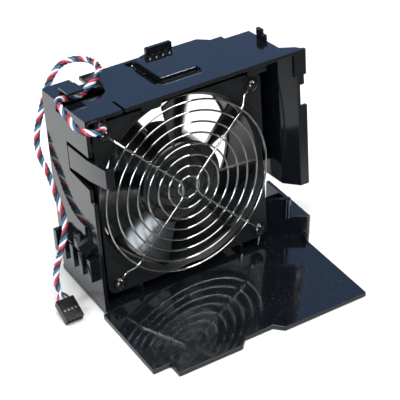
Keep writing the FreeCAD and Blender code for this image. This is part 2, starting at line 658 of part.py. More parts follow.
def stator():
    tube = ring("bearing_tube", "bearing_radius", "tube_radius", ("tube_front", "base_front"))
    in_fan(tube, "bearing_tube")
    for name, front in (("front_bearing", "front_bearing_at"), ("rear_bearing", "rear_bearing_at")):
        in_fan(ring(name, "shaft_radius", "bearing_radius", (front, front + " + bearing_width")), name)
    in_fan(cross("stator_core", ("stator_front", "stator_rear")), "stator_core")
    in_fan(cross("front_bobbin", ("stator_front - bobbin_thick", "stator_front")), "front_bobbin")
    in_fan(cross("rear_bobbin", ("stator_rear", "stator_rear + bobbin_thick")), "rear_bobbin")
    coils = []
    inner = "tube_radius + stator_ring + coil_gap"
    outer = "stator_radius - shoe_thick - coil_gap"
    low = "stator_front - bobbin_thick"
    high = "stator_rear + bobbin_thick"
    for index in range(POLES):
        wound = block(f"coil_{index}_blank", (inner, outer), (low + " - coil_build", high + " + coil_build"),
                      ("-arm_width / 2 - coil_build", "arm_width / 2 + coil_build"))
        room = block(f"coil_{index}_room", (inner + " - 1", outer + " + 1"), (low, high),
                     ("-arm_width / 2", "arm_width / 2"))
        coils.append(spun(cut(f"coil_{index}", wound, [room]), f"{360 * index / POLES}"))
    in_fan(group("coil_windings", coils), "coil_windings")
    in_fan(ring("circuit_board", "tube_radius", "board_radius", ("board_front", "board_front + board_thick")),
           "circuit_board")


# Finger guard: rings, two bent spokes with eyes, four rivets and the lead grommet
def spoke(name, side):
    """Wire from the upper corner past the centre to the lower corner, with an eye at each end."""
    hole = number("hole_spacing") / 2
    flat = number("eye_plane")
    proud = -number("guard_rise")
    radius = number("spoke_wire") / 2
    slant = math.sqrt(0.5)
    near = hole - number("eye_radius") * slant
    foot = hole - number("kink_start") * slant
    crest = hole - number("kink_end") * slant
    bend = number("spoke_bend")
    upper = [(near, flat, near), (foot, flat, foot), (crest, proud, crest), (bend, proud, bend)]
    corners = upper + [(x, y, -z) for x, y, z in reversed(upper)]
    points = [Vector(side * x, y, z) for x, y, z in corners]
    path, radii = path_through(points)
    wire = coded(name + "_wire", wire_along(path, points[0], points[1], radius))
    eyes = []
    for index, z in enumerate(("hole_spacing / 2", "-hole_spacing / 2")):
        eye = doc.addObject("Part::Torus", f"{name}_eye_{index}")
        eye.Placement = Placement(Vector(), TURN_TO["y"])
        bind(eye, Radius1="eye_radius", Radius2="spoke_wire / 2")
        eyes.append(put(eye, f"{side} * hole_spacing / 2", "eye_plane", z))
    in_fan(fuse(name, [wire] + eyes), name)


def guard():
    rings = []
    for index in range(RINGS):
        loop = doc.addObject("Part::Torus", f"guard_ring_{index}")
        loop.Placement = Placement(Vector(), TURN_TO["y"])
        bind(loop, Radius1=f"guard_reach * {(index + 1) / RINGS}", Radius2="ring_wire / 2")
        rings.append(put(loop, y="ring_plane"))
    in_fan(group("guard_rings", rings), "guard_rings")
    spoke("guard_spoke_left", -1)
    spoke("guard_spoke_right", 1)
    rivets = []
    seat = "-spoke_wire"
    curve = "(rivet_head ^ 2 + rivet_dome ^ 2) / (2 * rivet_dome)"
    for index, (x, z) in enumerate(CORNERS):
        ball = doc.addObject("Part::Sphere", f"rivet_ball_{index}")
        put(bind(ball, Radius=curve), y=f"{seat} - rivet_dome + {curve}")
        wide = ("-rivet_head * 2", "rivet_head * 2")
        room = block(f"rivet_room_{index}", wide, (seat + " - rivet_dome * 2", seat), wide)
        stem = rod(f"rivet_stem_{index}", "rivet_stem",
                   (seat + " - rivet_dome / 2", "flange_thick + rivet_tail"))
        rivet = fuse(f"rivet_{index}", [common(f"rivet_dome_{index}", [ball, room]), stem])
        rivets.append(put(group(f"rivet_place_{index}", [rivet]), x=x, z=z))
    in_fan(group("guard_rivets", rivets), "guard_rivets")
    body = block("grommet_body", ("lead_at - lead_notch / 2", "lead_at + lead_notch / 2"),
                 ("0", "flange_thick"),
                 ("half - lead_notch_depth", "lead_height + cable_dia / 2 + clearance"))
    in_fan(group("lead_grommet", [body]), "lead_grommet")


# Shroud, in the fan's frame: top plate, walls, wing, bulkhead and the small features on them
def top_plate():
    plate = prism("top_plate", "z", [
        ("-left_outer", "-front_lip"), ("wing_right", "-front_lip"),
        ("right_outer + wing_knee", "wing_knee_back"),
        ("right_outer", "wing_start"), ("right_outer", "bulkhead_back"),
        ("step_at + step_run + step_flat", "bulkhead_back"),
        ("step_at + step_run + step_flat", "box_back - step_depth"),
        ("step_at + step_run", "box_back - step_depth"),
        ("step_at", "box_back"), ("-left_outer", "box_back")], ("top_inner", "top_outer"))
    through = ("top_inner - slot_dip", "top_outer + 1")
    slot_end = "-left_outer + slot_length - slot_width / 2"
    cuts = [
        block("slot_run", ("-left_outer - 1", slot_end),
              ("slot_middle - slot_width / 2", "slot_middle + slot_width / 2"), through),
        rod("slot_round", "slot_width / 2", through, axis="z", x=slot_end, y="slot_middle"),
        block("rear_notch", ("-left_outer + rear_notch_at - rear_notch_width / 2",
                             "-left_outer + rear_notch_at + rear_notch_width / 2"),
              ("box_back - rear_notch_depth", "box_back + 1"), through),
        block("front_slit",
              ("-left_outer + slit_at - slit_width / 2", "-left_outer + slit_at + slit_width / 2"),
              ("-front_lip - 1", "-front_lip + slit_length"), through),
        block("latch_bay", ("latch_left - latch_slot", "latch_right + latch_side"),
              ("latch_root", "box_back - latch_strip"), ("fan_reach + clearance", "top_outer + 1")),
        block("flex_groove", ("latch_left - 1", "latch_right - 1"),
              ("latch_root - flex_width / 2", "latch_root"), ("top_outer - flex_depth", "top_outer + 1")),
        rod("flex_socket", "flex_rim + clearance", ("latch_left - latch_slot", "latch_right + latch_side"),
            axis="x", y="latch_root", z="top_inner + flex_rim"),
    ]
    return plate, cuts


def latch_pocket():
    """Floor of the recess beside the top latch, and the bead in front of the flexing line."""
    level = "top_outer - pocket_depth"
    front = "latch_root - flex_width / 2"
    return [
        block("pocket_floor", ("latch_left - latch_slot - wall / 2", "latch_left - clearance"),
              ("latch_root", "box_back"), (level + " - pocket_floor", level)),
        block("front_bead", ("latch_left - 1", "latch_right - 1"), (front + " - bead_width", front),
              ("top_outer - wall / 2", "top_outer + bead_rise")),
    ]


def tongue():
    """Raised tongue that keeps the cable in its slot, footed behind the slot."""
    left = "-left_outer + tongue_from"
    right = left + " + tongue_length"
    rear = "slot_middle + slot_width / 2"
    under = "top_outer + tongue_rise"
    return prism("cable_tongue", "x", [
        (rear, "top_inner"), (rear + " + tongue_thick", "top_inner"),
        (rear + " + tongue_thick", under + " + tongue_thick"),
        (rear + " - tongue_reach", under + " + tongue_thick"), (rear + " - tongue_reach", under),
        (rear, under)], (left, right))


def left_wall():
    wall_plate = block("left_wall", ("-left_outer", "-left_inner"), ("-front_lip", "box_back"),
                       ("-axis_height - wall", "top_outer"))
    reach = ("-left_outer - 1", "-left_inner + 1")
    low = "finger_low - finger_slit"
    window = prism("finger_window", "x", [
        ("finger_root", low), ("-front_lip + wall_notch", low + " - slit_slope"),
        ("-front_lip + wall_notch", low + " - slit_slope - wall_notch_drop"),
        ("-front_lip - 1", low + " - slit_slope - wall_notch_drop"),
        ("-front_lip - 1", "finger_high + finger_slit"), ("finger_root", "finger_high + finger_slit")], reach)
    socket = rod("finger_socket", "wall / 2 + clearance",
                 ("finger_low - finger_slit", "finger_high + finger_slit"), axis="z",
                 x="-left_inner - wall / 2", y="finger_root")
    return wall_plate, [window, socket]


def comb():
    """Row of fins on the left wall with a shelf and a peg over them."""
    outside = ("-left_outer - comb_reach", "-left_inner - wall / 2")
    pieces = []
    for index in range(FINS):
        front = f"-comb_front + comb_pitch * {index}"
        pieces.append(block(f"fin_{index}", outside, (front, front + " + comb_thick"),
                            ("-comb_top - comb_height", "-comb_top")))
    peg = "-left_outer - comb_reach + 1"
    pieces.append(prism("comb_shelf", "y", [
        (peg, "-comb_top"), ("-left_inner - wall / 2", "-comb_top"),
        ("-left_inner - wall / 2", "-comb_top + shelf_rise"), (peg, "-comb_top + shelf_edge")],
        ("-comb_front + comb_pitch / 2", f"-comb_front + comb_pitch * {FINS - 2} + comb_thick")))
    peg_front = "-comb_front + comb_pitch * 1.5"
    pieces.append(block("comb_peg", (peg, peg + " + peg_thick"),
                        (peg_front, peg_front + " + comb_thick"),
                        ("-comb_top", "-comb_top + peg_height")))
    return pieces


def wing():
    """Right wall, its flared wing and the wing's front lip."""
    tall = ("-wing_drop", "top_outer")
    panel = prism("wing_panel", "z", [
        ("right_inner", "bulkhead_back"), ("right_inner", "wing_start - wall * 0.6"),
        ("wing_right - lip_width", "-front_lip"),
        ("wing_right", "-front_lip"), ("wing_right", "-front_lip + wall"),
        ("right_outer + wing_knee", "-front_lip + wall"), ("right_outer + wing_knee", "wing_knee_back"),
        ("right_outer", "wing_start"), ("right_outer", "bulkhead_back")], tall)
    pad = block("lip_pad", ("wing_right - lip_width - lip_pad", "wing_right - lip_width + 1"),
                ("-front_lip", "-front_lip + wall"), ("lip_ledge", "top_outer"))
    across = ("-front_lip - 1", "-front_lip + wall + clearance")
    cuts = [
        block("lip_notch_cut", ("wing_right - lip_notch", "wing_right + 1"), across,
              ("lip_notch_low", "lip_notch_high")),
        block("lip_ledge_cut", ("wing_right - lip_ledge_in", "wing_right + 1"), across,
              ("lip_notch_high", "lip_ledge")),
    ]
    return fuse("padded_panel", [panel, pad]), cuts


def bulkhead():
    plate = block("bulkhead_plate", ("-left_outer", "right_outer"), ("fan_depth", "bulkhead_back"),
                  ("-axis_height - wall", "top_outer"))
    across = ("fan_depth - 1", "bulkhead_back + 1")
    return plate, [
        rod("outlet", "barrel_radius - outlet_inset", across),
        block("side_window", ("half + wall", "right_outer + 1"), across,
              ("-axis_height - wall - 1", "-wing_drop")),
    ]


def fan_seats():
    """Ribs that centre the fan, and snap hooks that hold its flange."""
    deep = ("flange_thick", "flange_rear")
    pieces = [
        block("rib_left_high", ("-left_inner - wall / 2", "-half"), deep,
              ("finger_high + finger_slit + wall", "finger_high + finger_slit + wall + rib_thick")),
        block("rib_left_low", ("-left_inner - wall / 2", "-half"), deep, ("-rib_at - rib_thick", "-rib_at")),
        block("rib_top_left", ("-rib_at + wall * 2", "-rib_at + wall * 2 + rib_thick"), deep,
              ("half", "top_inner + wall / 2")),
        block("rib_top_right", ("rib_at", "rib_at + rib_thick"), deep, ("half", "top_inner + wall / 2")),
        block("guide_right", ("half", "half + wall"), ("flange_thick * 2", "bulkhead_back"),
              ("-axis_height - wall", "-wing_drop")),
        block("foot_left", ("-rib_at - rib_thick", "-rib_at"), ("0", "fan_depth"),
              ("-axis_height - wall", "-half")),
        block("foot_right", ("rib_at", "rib_at + rib_thick"), ("0", "fan_depth"),
              ("-axis_height - wall", "-half")),
    ]
    for name, left in (("snap_left", "hook_left"), ("snap_right", "hook_right")):
        pieces.append(prism(name, "x", [
            ("-clearance", "half - hook_drop"), ("-clearance", "top_inner + wall / 2"),
            ("-hook_thick - clearance", "top_inner + wall / 2"), ("-hook_thick - clearance", "half")],
            (left, left + " + hook_width")))
    return pieces


def side_post():
    """Stepped post on the right wall's upper edge."""
    inside = ("right_inner", "right_outer")
    back = "side_post_at + side_post_length"
    return [
        block("side_post_low", inside, ("side_post_at", back),
              ("top_inner", "top_outer + side_post_height * 0.6")),
        block("side_post_high", inside, ("side_post_at + side_post_length * 0.4", back),
              ("top_inner", "top_outer + side_post_height")),
    ]


# Shroud, on the floor: apron, raised ledge with its slanted riser, screen and pillar
def apron():
    left = "-left_outer - floor_left"
    plate = prism("apron_floor", "z", [
        ("-left_outer", "floor_back"), ("-left_outer", "-ledge_front"), (left, "-ledge_front"),
        (left, "-floor_front + corner_depth"), (left + " + corner_width", "-floor_front + corner_depth"),
        (left + " + corner_width", "-floor_front"), ("bay_left", "-floor_front"),
        ("bay_left + bay_slant", "-floor_front + bay_depth"),
        ("bay_right - bay_slant", "-floor_front + bay_depth"),
        ("bay_right", "-floor_front"), ("floor_right", "-floor_front"), ("floor_right", "-ledge_front"),
        ("ledge_right", "-ledge_front"), ("ledge_right", "ledge_back"), ("half", "ledge_back"),
        ("half", "floor_back")], ("0", "floor_thick"))
    inner = "half + wall"
    riser_right = "ledge_right - wall * 0.7"
    riser_back = "-ledge_front + riser_depth"
    ledge = prism("ledge", "z", [
        (inner, riser_back), (riser_right, "-ledge_front"), ("ledge_right", "-ledge_front"),
        ("ledge_right", "ledge_cover"), (inner, "ledge_cover")], ("ledge_height - wall", "ledge_height"))
    riser = prism("riser", "z", [
        (inner, riser_back), (riser_right, "-ledge_front"), ("ledge_right", "-ledge_front"),
        ("ledge_right", "-ledge_front + wall"), (riser_right + " + wall * 0.3", "-ledge_front + wall"),
        (inner, riser_back + " + wall")], ("0", "ledge_height"))
    side = block("ledge_side", ("ledge_right - wall", "ledge_right"), ("-ledge_front", "ledge_back"),
                 ("0", "ledge_height"))
    slope = f"riser_depth / ({riser_right} - ({inner}))"
    screen_end = inner + " + screen_share"
    screen_front = f"{riser_back} - screen_share * {slope}"
    high = ("ledge_height - wall / 2", "ledge_height + screen_height")
    screen = prism("screen", "z", [
        (inner, riser_back), (screen_end, screen_front), (screen_end, screen_front + " + wall"),
        (inner, riser_back + " + wall")], high)
    pillar = rod("pillar", "pillar_radius", high, axis="z", x=screen_end, y=screen_front + " + wall / 2")
    bump = block("floor_bump", ("floor_right - wall", "floor_right"), ("-bump_at", "-bump_at + bump_length"),
                 ("0", "floor_thick + bump_height"))
    stops = []
    for name, middle in (("stop_left", "-rib_at"), ("stop_right", "rib_at")):
        stops.append(block(name, (middle + " - rib_thick / 2", middle + " + rib_thick / 2"),
                           ("-hook_thick - clearance", "-clearance"),
                           ("-axis_height", "-half + hook_drop / 2")))
    return [plate, ledge, riser, side, screen, pillar, bump, lean_back(group("fan_stops", stops))]


def shroud():
    plate, plate_cuts = top_plate()
    wall_plate, wall_cuts = left_wall()
    panel, panel_cuts = wing()
    back_plate, back_cuts = bulkhead()
    joined = fuse("walls", [plate, wall_plate, cut("wing", panel, panel_cuts),
                            cut("bulkhead", back_plate, back_cuts)])
    opened = cut("opened_walls", joined, plate_cuts + wall_cuts)
    walls = fuse("fitted_walls", [opened, tongue()] + latch_pocket() + comb() + fan_seats() + side_post())
    below = block("below_walls", ("-" + FAR, FAR), ("-" + FAR, FAR), ("-" + FAR, "floor_thick"))
    finish(cut("shroud", lean_back(walls), [below]), "shroud")
    finish(fuse("apron", apron()), "apron")


# Latches: a tongue in the top plate with a thumb grip, and a finger in the left wall
def top_latch():
    end = "box_back - latch_end"
    grip_left = "latch_right - grip_width"
    grip_front = end + " - grip_thick"
    flex_back = "latch_root + flex_width / 2"
    plate = block("latch_plate", ("latch_left", "latch_right"), ("latch_root", end),
                  ("top_inner", "top_outer"))
    groove = block("latch_groove", ("latch_left - 1", "latch_right - 1"), ("latch_root - 1", flex_back),
                   ("top_outer - flex_depth", "top_outer + 1"))
    bead = rod("latch_bead", "flex_rim", ("latch_left", "latch_right"), axis="x",
               y="latch_root", z="top_inner + flex_rim")
    trim = block("latch_trim", ("latch_right - 1 - clearance", "latch_right + 1"),
                 ("latch_root - 1", flex_back),
                 ("top_outer - flex_depth", "top_outer + 1"))
    grip = block("thumb_grip", (grip_left, "latch_right"), (grip_front, end),
                 ("top_inner", "top_outer + grip_height"))
    ribs = []
    for index in range(GRIP_RIBS):
        middle = f"{grip_left} + grip_width * {(index + 0.5) / GRIP_RIBS}"
        inside = grip_front + " + 1"
        crest = "top_outer + grip_height * 0.8"
        toe = grip_front + " - grip_rib_run"
        ribs.append(prism(f"grip_rib_{index}", "x", [
            (inside, "top_outer - wall / 2"), (inside, crest), (grip_front, crest), (toe, "top_outer"),
            (toe, "top_outer - wall / 2")],
            (middle + " - grip_rib / 2", middle + " + grip_rib / 2")))
    rear_bead = block("rear_bead", ("latch_left", "latch_right - 1"),
                      (flex_back, flex_back + " + bead_width"),
                      ("top_outer - wall / 2", "top_outer + bead_rise"))
    tooth = prism("catch_tooth", "y", [
        (grip_left, "top_inner"), (grip_left, "top_outer + tooth_height"),
        (grip_left + " - tooth_width", "top_outer + tooth_height * 0.75"),
        (grip_left + " - tooth_width * 0.3", "top_inner")],
        (grip_front, end))
    tongue_plate = cut("latch_tongue", plate, [groove, trim])
    in_fan(fuse("top_latch", [tongue_plate, bead, grip, tooth, rear_bead] + ribs), "top_latch")


def side_latch():
    bent = "-left_outer + finger_bend"
    tip = "finger_tip"
    plan = prism("finger_plan", "z", [
        ("-left_outer", "finger_root"), ("-left_outer", "-finger_straight"),
        (bent, tip), (bent + " + nose_width", tip),
        (bent + " + nose_width", tip + " + wall"), (bent + " + wall", tip + " + wall"),
        ("-left_inner", "-finger_straight"), ("-left_inner", "finger_root")], ("finger_low", "finger_high"))
    side = prism("finger_side", "x", [
        ("finger_root + 1", "finger_low"), ("finger_root + 1", "finger_high"), (tip + " - 1", "finger_high"),
        (tip + " - 1", "finger_low + finger_taper")], ("-left_outer - 1", "-half + nose_width"))
    bead = rod("finger_bead", "wall / 2", ("finger_low", "finger_high"), axis="z",
               x="-left_inner - wall / 2", y="finger_root")
    in_fan(fuse("side_latch", [common("finger", [plan, side]), bead]), "side_latch")


# Cable and plug
def plug_turn():
    return Rotation(Vector(1, 0, 0), number("plug_tilt"))


def plug_entry():
    """Where the cable meets the plug: the middle of its back face."""
    place = Vector(0, number("plug_length"), number("plug_thick") / 2)
    return PLUG_TIP + plug_turn().multVec(place)


def cable():
    lean = Rotation(Vector(-1, 0, 0), number("lean"))
    fan_place = Placement(Vector(0, 0, number("axis_height")), lean)
    leave = fan_place.multVec(Vector(number("lead_at"), 0, number("lead_height")))
    points = [leave] + [Vector(*point) for point in CABLE_ROUTE] + [plug_entry()]
    path, radii = path_through(points)
    radius = number("cable_dia") / 2
    tube = wire_along(path, points[0], points[1], radius)
    swept = math.pi * radius ** 2 * path.Length
    print("cable length", round(path.Length, 1), "volume ratio", round(tube.Volume / swept, 4))
    print("cable bend radii", [round(value, 1) for value in radii])
    runs = [round((after - before).Length, 1) for before, after in zip(points, points[1:])]
    print("cable runs", runs)
    print("cable ends", [[round(value, 2) for value in end] for end in (points[0], points[-1])])
    finish(coded("cable", tube), "cable")


def plug():
    half_width = "plug_width / 2"
    body = block("plug_body", (f"-{half_width}", half_width), ("0", "plug_length"), ("0", "plug_thick"))
    cavities = []
    pins = []
    for index in range(PINS):
        middle = f"pin_pitch * {index - (PINS - 1) / 2}"
        side = (f"{middle} - cavity / 2", f"{middle} + cavity / 2")
        height = ("plug_thick / 2 - cavity / 2", "plug_thick / 2 + cavity / 2")
        cavities.append(block(f"cavity_{index}", side, ("-1", "plug_length - wall"), height))
        window = ("plug_length * 0.4", "plug_length * 0.4 + cavity")
        cavities.append(block(f"cavity_window_{index}", side, window, ("plug_thick / 2", "plug_thick + 1")))
        inside = (side[0] + " + terminal_gap", side[1] + " - terminal_gap")
        barrel = block(f"terminal_barrel_{index}", inside,
                       ("plug_length - wall - terminal_length", "plug_length - wall"),
                       (height[0] + " + terminal_gap", height[1] + " - terminal_gap"))
        tang = block(f"terminal_tang_{index}", inside,
                     (window[0] + " + terminal_gap", window[1] + " - terminal_gap"),
                     ("plug_thick / 2", "plug_thick - terminal_gap * 4"))
        pins.append(fuse(f"terminal_{index}", [barrel, tang]))
    for thing, label in ((cut("plug_housing", body, cavities), "plug_housing"),
                         (group("plug_terminals", pins), "plug_terminals")):
        thing.Placement = Placement(PLUG_TIP, Rotation(Vector(1, 0, 0), 1))
        bind(thing, **{"Placement.Rotation.Angle": "plug_tilt"})
        finish(thing, label)


fan_frame()
impeller()
rotor()
stator()
guard()
shroud()
top_latch()
side_latch()
cable()
plug()
doc.recompute()

# Nothing is written unless every object and every sub-part is sound
for thing in doc.Objects:
    bad = [state for state in thing.State if state in ("Invalid", "Error")]
    if bad:
        raise RuntimeError(f"{thing.Label} is {bad}")
for thing in nodes:
    if thing.Shape.isNull() or not thing.Shape.isValid():
        raise RuntimeError(f"{thing.Label} has no valid shape")
os.makedirs("parts", exist_ok=True)
for thing in nodes:
    thing.Shape.exportStep(f"parts/{thing.Label}.step")
    print(thing.Label, len(thing.Shape.Solids), "solids", round(thing.Shape.Volume, 1))
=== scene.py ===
# %% [markdown]
# # A shrouded fan, dressed in Blender
#
# The solid model gives every wall, blade and wire its true size and place. This lesson adds what
# a picture of the real fan shows besides: edges that catch the light, a raised plate on one latch,
# four twisted leads, and the finish of each material. Before each step a few lines say what the
# real piece is and why it is made this way.

# %% Load the solid model
import json
import math

import bmesh
import bpy
from mathutils import Matrix, Vector

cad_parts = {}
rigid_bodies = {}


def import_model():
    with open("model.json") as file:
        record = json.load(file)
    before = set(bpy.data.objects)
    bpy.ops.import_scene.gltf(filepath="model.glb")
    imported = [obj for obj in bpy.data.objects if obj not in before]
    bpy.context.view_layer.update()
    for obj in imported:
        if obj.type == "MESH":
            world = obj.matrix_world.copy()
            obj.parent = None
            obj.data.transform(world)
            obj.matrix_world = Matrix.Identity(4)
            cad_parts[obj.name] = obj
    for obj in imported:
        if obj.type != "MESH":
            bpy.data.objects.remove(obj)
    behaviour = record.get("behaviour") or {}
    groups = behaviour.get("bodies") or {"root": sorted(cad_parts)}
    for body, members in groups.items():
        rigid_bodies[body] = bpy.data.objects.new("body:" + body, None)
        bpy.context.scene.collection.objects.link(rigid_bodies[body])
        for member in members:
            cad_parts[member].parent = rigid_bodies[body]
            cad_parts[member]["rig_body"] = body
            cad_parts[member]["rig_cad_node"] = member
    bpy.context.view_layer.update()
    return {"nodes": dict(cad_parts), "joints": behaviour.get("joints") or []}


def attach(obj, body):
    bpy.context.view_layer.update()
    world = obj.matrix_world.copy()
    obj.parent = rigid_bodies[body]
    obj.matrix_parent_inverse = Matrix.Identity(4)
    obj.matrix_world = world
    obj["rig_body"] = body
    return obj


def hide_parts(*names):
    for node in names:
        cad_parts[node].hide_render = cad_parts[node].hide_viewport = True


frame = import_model()
nodes = frame["nodes"]

# %% [markdown]
# ## The fan's own frame
#
# The fan leans back over a level floor, so a place on it is easiest to give in a frame that leans
# too: X to the right, Y back along the axle, Z up the face. The axle's hinge in the model knows
# the lean, so it is read from there and never typed again.

# %% A place on the fan, in millimetres
PER_METRE = 1000
spin = next(joint for joint in frame["joints"] if joint["name"] == "fan_spin")
FAN_CENTRE = Vector(spin["pos_m"])
FAN_RIGHT = Vector((1, 0, 0))
FAN_BACK = Vector(spin["axis"]).normalized()
FAN_UP = FAN_RIGHT.cross(FAN_BACK)


def on_fan(x, y, z):
    """Where a point of the fan's own frame, in millimetres, lies in the scene, in metres."""
    return FAN_CENTRE + (FAN_RIGHT * x + FAN_BACK * y + FAN_UP * z) / PER_METRE


def in_fan(point):
    """Where a point of the scene lies in the fan's own frame, in millimetres."""
    offset = (point - FAN_CENTRE) * PER_METRE
    return [offset.dot(axis) for axis in (FAN_RIGHT, FAN_BACK, FAN_UP)]


print("fan centre:", FAN_CENTRE[:], "up:", FAN_UP[:])

# %% [markdown]
# ## The camera
#
# The picture was taken with a long lens from the left, above the guard. The camera's place and
# lens were worked out from the fan's four corner rivets and the straight edges of the shroud, so
# that the same corners fall on the same places in the frame.

# %% Set up the camera
SENSOR_WIDTH = 36
FOCAL_LENGTH = 132.22
CAMERA_PLACE = (-0.39344, -0.63557, 0.60129)
CAMERA_LOOK = Vector((0.4341, 0.6813, -0.5894))
camera_data = bpy.data.cameras.new("studio_camera")
camera_data.sensor_width = SENSOR_WIDTH
camera_data.lens = FOCAL_LENGTH
camera = bpy.data.objects.new("studio_camera", camera_data)
camera.location = CAMERA_PLACE
camera.rotation_euler = CAMERA_LOOK.to_track_quat("-Z", "Y").to_euler()
bpy.context.scene.collection.objects.link(camera)
bpy.context.scene.camera = camera
print("camera at", camera.location[:], "lens", camera_data.lens)

# %% [markdown]
# ## The leads' route
#
# Four thin leads leave the fan's flange, go round the left wall, through the slot in the top
# plate, over the back edge and down to the plug. One smooth line through the route comes first. A
# NURBS spline is used because it rounds every turn by itself. Its order is set after the points
# are added: before that it would fall back to straight runs.

# %% Draw the smooth line of the leads
LINE_ORDER = 3
LINE_STEPS = 10
ROUTE = [
    (-53.5, 6.79, 128.28), (-54.6, 0.2, 129.3), (-59.0, -4.7, 131.2), (-66.4, -6.0, 132.8),
    (-72.3, -0.8, 134.0), (-72.2, 9.4, 135.3), (-71.7, 19.6, 137.1), (-70.6, 28.6, 137.4),
    (-65.5, 33.6, 135.6), (-57.5, 34.2, 132.9), (-50.0, 34.5, 133.4), (-43.5, 36.4, 136.6),
    (-36.5, 40.4, 138.4), (-31.0, 47.3, 138.0), (-28.6, 56.5, 136.8), (-29.4, 66.0, 134.9),
    (-35.0, 71.6, 134.4), (-43.3, 73.3, 133.5), (-50.5, 71.4, 129.5), (-56.0, 68.6, 124.4),
    (-60.9, 65.6, 117.5), (-64.6, 64.0, 108.6), (-68.2, 63.2, 99.4), (-70.4, 61.1, 90.0),
    (-70.6, 57.7, 82.2), (-70.3, 51.4, 77.4), (-70.0, 44.8, 71.3), (-70.0, 40.2, 64.1),
    (-70.2, 34.1, 58.3), (-71.0, 27.9, 52.7), (-73.2, 22.5, 48.1), (-76.8, 19.0, 43.2),
    (-79.9, 19.2, 33.6), (-82.8, 20.4, 21.4), (-86.0, 14.63, 12.55), (-86.0, 5.43, 8.64),
]
line_data = bpy.data.curves.new("lead_line", "CURVE")
line_data.dimensions = "3D"
spline = line_data.splines.new("NURBS")
spline.points.add(len(ROUTE) - 1)
for point, place in zip(spline.points, ROUTE):
    point.co = (*(Vector(place) / PER_METRE), 1)
spline.order_u = LINE_ORDER
spline.use_endpoint_u = True
spline.resolution_u = LINE_STEPS
line = bpy.data.objects.new("lead_line", line_data)
bpy.context.scene.collection.objects.link(line)
bpy.context.view_layer.update()
line_mesh = bpy.data.meshes.new_from_object(line)
path = [vertex.co.copy() for vertex in line_mesh.vertices]
bpy.data.objects.remove(line)
distances = [0.0]
for before, after in zip(path, path[1:]):
    distances.append(distances[-1] + (after - before).length)
LEAD_LENGTH = distances[-1]
print("leads: points", len(path), "length", round(LEAD_LENGTH, 4))

# %% [markdown]
# ## Node groups that several finishes share
#
# Moulded plastic is never evenly shiny: hands and the mould leave soft smudges, and the skin
# ripples a little, so mirrored edges waver. Dust settles on what faces up, in fine specks. Each
# of these is one node group with named inputs, so that each material can place it with values of
# its own.

# %% Helpers for node groups
NOISE_SPAN = (0.32, 0.7)


def start_group(name, inputs, outputs):
    """Make a node group with number sockets, and hand back its two ends with it."""
    group = bpy.data.node_groups.new(name, "ShaderNodeTree")
    for socket, value in inputs:
        made = group.interface.new_socket(socket, in_out="INPUT", socket_type="NodeSocketFloat")
        made.default_value = value
    for socket in outputs:
        group.interface.new_socket(socket, in_out="OUTPUT", socket_type="NodeSocketFloat")
    entry = group.nodes.new("NodeGroupInput")
    leave = group.nodes.new("NodeGroupOutput")
    return group, entry, leave


def add_noise(group, coordinates, scale, detail, roughness):
    """Add a noise whose scale comes from a socket; most of it lies within NOISE_SPAN."""
    noise = group.nodes.new("ShaderNodeTexNoise")
    noise.inputs["Detail"].default_value = detail
    noise.inputs["Roughness"].default_value = roughness
    group.links.new(coordinates, noise.inputs["Vector"])
    group.links.new(scale, noise.inputs["Scale"])
    return noise.outputs["Fac"]


def add_range(group, value, span, target):
    """Carry a value from a span to a target, whose ends may be sockets or numbers."""
    stretch = group.nodes.new("ShaderNodeMapRange")
    group.links.new(value, stretch.inputs["Value"])
    for name, end in zip(("From Min", "From Max", "To Min", "To Max"), (*span, *target)):
        if isinstance(end, (int, float)):
            stretch.inputs[name].default_value = end
        else:
            group.links.new(end, stretch.inputs[name])
    return stretch.outputs["Result"]


def add_product(group, first, second):
    """Multiply two masks."""
    product = group.nodes.new("ShaderNodeMath")
    product.operation = "MULTIPLY"
    group.links.new(first, product.inputs[0])
    group.links.new(second, product.inputs[1])
    return product.outputs["Value"]


# %% Moulded skin: smudged gloss and a faint ripple
skin_group, entry, leave = start_group(
    "moulded_skin",
    [("Smudge Scale", 60), ("Clean", 0.08), ("Smudged", 0.2), ("Ripple Scale", 90)],
    ["Roughness", "Height"])
place = skin_group.nodes.new("ShaderNodeTexCoord").outputs["Object"]
smudge = add_noise(skin_group, place, entry.outputs["Smudge Scale"], detail=5, roughness=0.62)
gloss = add_range(
    skin_group, smudge, NOISE_SPAN, (entry.outputs["Clean"], entry.outputs["Smudged"]))
ripple = add_noise(skin_group, place, entry.outputs["Ripple Scale"], detail=1, roughness=0.4)
skin_group.links.new(gloss, leave.inputs["Roughness"])
skin_group.links.new(ripple, leave.inputs["Height"])
print("group:", skin_group.name)

# %% Dust: fine specks in patches, most on what faces up
SPECK_EDGE = (0.62, 0.74)
BARE_PATCH = 0.1
FACING_SPAN = (-0.2, 0.9)
UNDERSIDE_SHARE = 0.1
dust_group, entry, leave = start_group(
    "dust_specks", [("Speck Scale", 1400), ("Patch Scale", 45), ("Amount", 0.3)], ["Mask"])
place = dust_group.nodes.new("ShaderNodeTexCoord").outputs["Object"]
specks = add_noise(dust_group, place, entry.outputs["Speck Scale"], detail=2, roughness=0.5)
patches = add_noise(dust_group, place, entry.outputs["Patch Scale"], detail=3, roughness=0.5)
dust = add_product(
    dust_group,
    add_range(dust_group, specks, SPECK_EDGE, (0, 1)),
    add_range(dust_group, patches, NOISE_SPAN, (BARE_PATCH, entry.outputs["Amount"])))
normal = dust_group.nodes.new("ShaderNodeNewGeometry").outputs["Normal"]
facing = dust_group.nodes.new("ShaderNodeSeparateXYZ")
dust_group.links.new(normal, facing.inputs["Vector"])
upward = add_range(dust_group, facing.outputs["Z"], FACING_SPAN, (UNDERSIDE_SHARE, 1))
dust_group.links.new(add_product(dust_group, dust, upward), leave.inputs["Mask"])
print("group:", dust_group.name)

